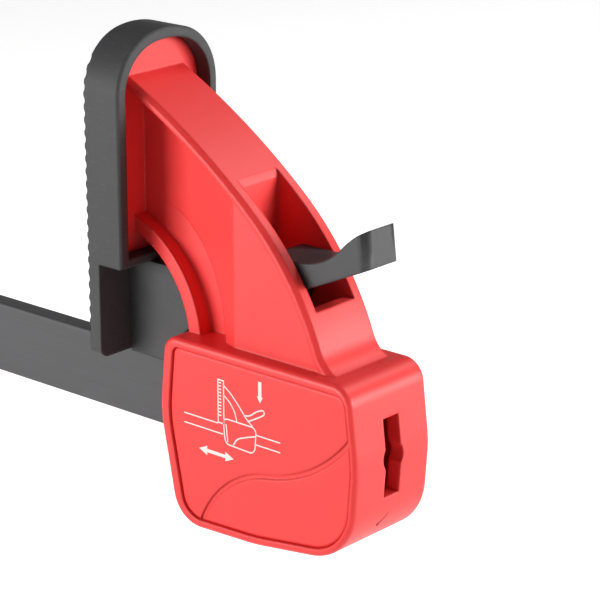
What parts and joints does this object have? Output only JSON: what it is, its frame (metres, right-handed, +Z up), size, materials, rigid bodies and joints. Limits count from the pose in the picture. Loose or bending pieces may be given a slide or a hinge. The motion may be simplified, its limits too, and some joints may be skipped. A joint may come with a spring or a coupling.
{
  "type": "quick release bar clamp",
  "caption": "One-hand bar clamp with a flat steel bar, a moulded release head with thumb lever and rubber jaw pad, and an opposing trigger head.",
  "frame": {"origin": "the middle of the release head's jaw face, where the pad presses on the work", "axes": "+X from the jaw face back along the bar through the release head, the other head lies at -X; +Z up from the bar to the jaw's top; +Y across the bar"},
  "size_m": [0.3764, 0.0396, 0.2189],
  "materials": {
    "red_moulding": "satin",
    "black_rubber": "matte",
    "dark_moulding": "satin",
    "black_moulding": "satin",
    "black_steel": "satin",
    "plain_steel": "satin"
  },
  "bodies": {
    "release_head": {"head_body": "red_moulding", "side_cover_near": "red_moulding", "side_cover_far": "red_moulding", "release_jaw_pad": "black_rubber", "release_guide_shoe": "dark_moulding", "release_lever_pin": "plain_steel", "lock_spring": "plain_steel"},
    "bar": {"bar": "black_steel", "stop_pin_front": "plain_steel", "stop_pin_tail": "plain_steel"},
    "release_lever": {"release_lever": "black_moulding"},
    "lock_plate_front": {"lock_plate_front": "plain_steel"},
    "lock_plate_rear": {"lock_plate_rear": "plain_steel"},
    "trigger_head": {"trigger_shell_near": "red_moulding", "trigger_shell_far": "red_moulding", "trigger_jaw_pad": "black_rubber", "trigger_guide_shoe": "dark_moulding", "shell_screws": "plain_steel", "handle_grip": "black_rubber", "trigger_pin": "plain_steel", "drive_spring": "plain_steel", "brake_spring": "plain_steel"},
    "trigger": {"trigger": "black_moulding"},
    "drive_plate": {"drive_plate": "plain_steel"},
    "brake": {"brake_plate": "plain_steel", "brake_cap": "black_moulding"}
  },
  "joints": [
    {"name": "bar_slide", "type": "slide", "parent": "release_head", "child": "bar", "axis": [1, 0, 0], "range_m": [0, 0.11]},
    {"name": "trigger_head_slide", "type": "slide", "parent": "bar", "child": "trigger_head", "axis": [1, 0, 0], "range_m": [-0.015, 0.038]},
    {"name": "release_lever_press", "type": "hinge", "parent": "release_head", "child": "release_lever", "pos_m": [0.0572, 0, -0.0135], "axis": [0, 1, 0], "range_deg": [0, 12.5], "stiffness_Nm_per_rad": 0.1, "springref_deg": -20.05},
    {"name": "lock_plate_front_tilt", "type": "hinge", "parent": "release_head", "child": "lock_plate_front", "pos_m": [0.05169, 0, -0.0415], "axis": [0, 1, 0], "range_deg": [-5.5, 0]},
    {"name": "lock_plate_rear_tilt", "type": "hinge", "parent": "release_head", "child": "lock_plate_rear", "pos_m": [0.05479, 0, -0.0415], "axis": [0, 1, 0], "range_deg": [-5.5, 0], "deforming": ["lock_spring"]},
    {"name": "trigger_squeeze", "type": "hinge", "parent": "trigger_head", "child": "trigger", "pos_m": [-0.189, 0, -0.0427], "axis": [0, 1, 0], "range_deg": [0, 16], "stiffness_Nm_per_rad": 0.6, "springref_deg": -17.19},
    {"name": "drive_plate_stroke", "type": "slide", "parent": "trigger_head", "child": "drive_plate", "axis": [-1, 0, 0], "range_m": [0, 0.00917], "deforming": ["drive_spring"]},
    {"name": "brake_release", "type": "hinge", "parent": "trigger_head", "child": "brake", "pos_m": [-0.238, 0, -0.0755], "axis": [0, -1, 0], "range_deg": [0, 5], "stiffness_Nm_per_rad": 0.3, "springref_deg": -17.19, "deforming": ["brake_spring"]}
  ],
  "couplings": [
    {"joint": "lock_plate_front_tilt", "follows": "release_lever_press", "ratio": -0.44},
    {"joint": "lock_plate_rear_tilt", "follows": "release_lever_press", "ratio": -0.44},
    {"joint": "drive_plate_stroke", "follows": "trigger_squeeze", "m_per_rad": 0.0328}
  ]
}
